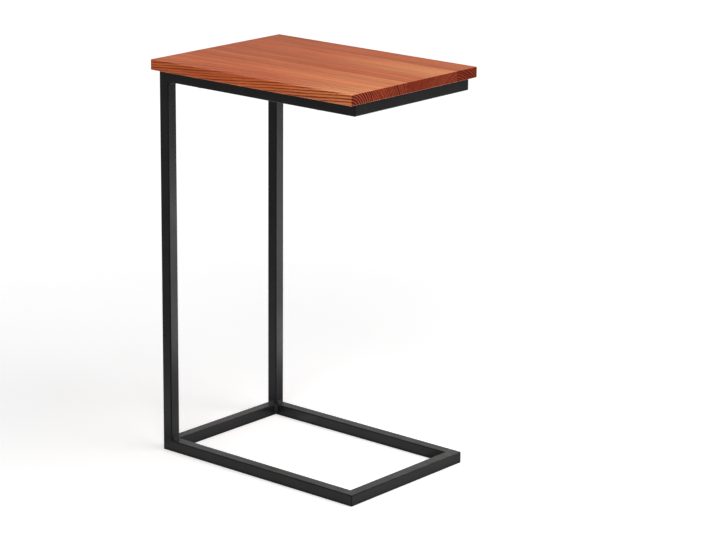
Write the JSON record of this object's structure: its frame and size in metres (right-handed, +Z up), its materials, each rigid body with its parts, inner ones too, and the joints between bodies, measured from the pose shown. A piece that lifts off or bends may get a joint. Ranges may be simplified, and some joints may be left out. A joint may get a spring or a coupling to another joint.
{
  "type": "c shaped side table",
  "caption": "Side table with a reddish-brown solid wood top on a black welded frame of square steel tube that stands behind the top and returns along the floor in a C shape.",
  "frame": {"origin": "on the floor, below the middle of the top", "axes": "+Z up; the two uprights stand at -X and the open end of the C is at +X; -Y is the left side as seen from the open end"},
  "size_m": [0.44, 0.32, 0.69],
  "materials": {
    "powder_coat": "black powder coat, satin, fine texture",
    "coated_weld": "black powder coat over fillet welds",
    "screw_steel": "black zinc plated",
    "stained_wood": "reddish-brown stain under satin lacquer"
  },
  "bodies": {
    "root": {"upright_left": "powder_coat", "upright_right": "powder_coat", "base_rail_left": "powder_coat", "base_rail_right": "powder_coat", "base_crossbar_front": "powder_coat", "base_crossbar_back": "powder_coat", "top_rail_left": "powder_coat", "top_rail_right": "powder_coat", "top_crossbar_front": "powder_coat", "top_crossbar_back": "powder_coat", "fillet_welds_base_back": "coated_weld", "fillet_welds_base_front": "coated_weld", "fillet_welds_top_back": "coated_weld", "fillet_welds_top_front": "coated_weld", "flush_welds_base": "coated_weld", "flush_welds_top": "coated_weld", "top_screws": "screw_steel", "top_stave_1": "stained_wood", "top_stave_2": "stained_wood", "top_stave_3": "stained_wood", "top_stave_4": "stained_wood", "top_stave_5": "stained_wood"}
  },
  "joints": []
}
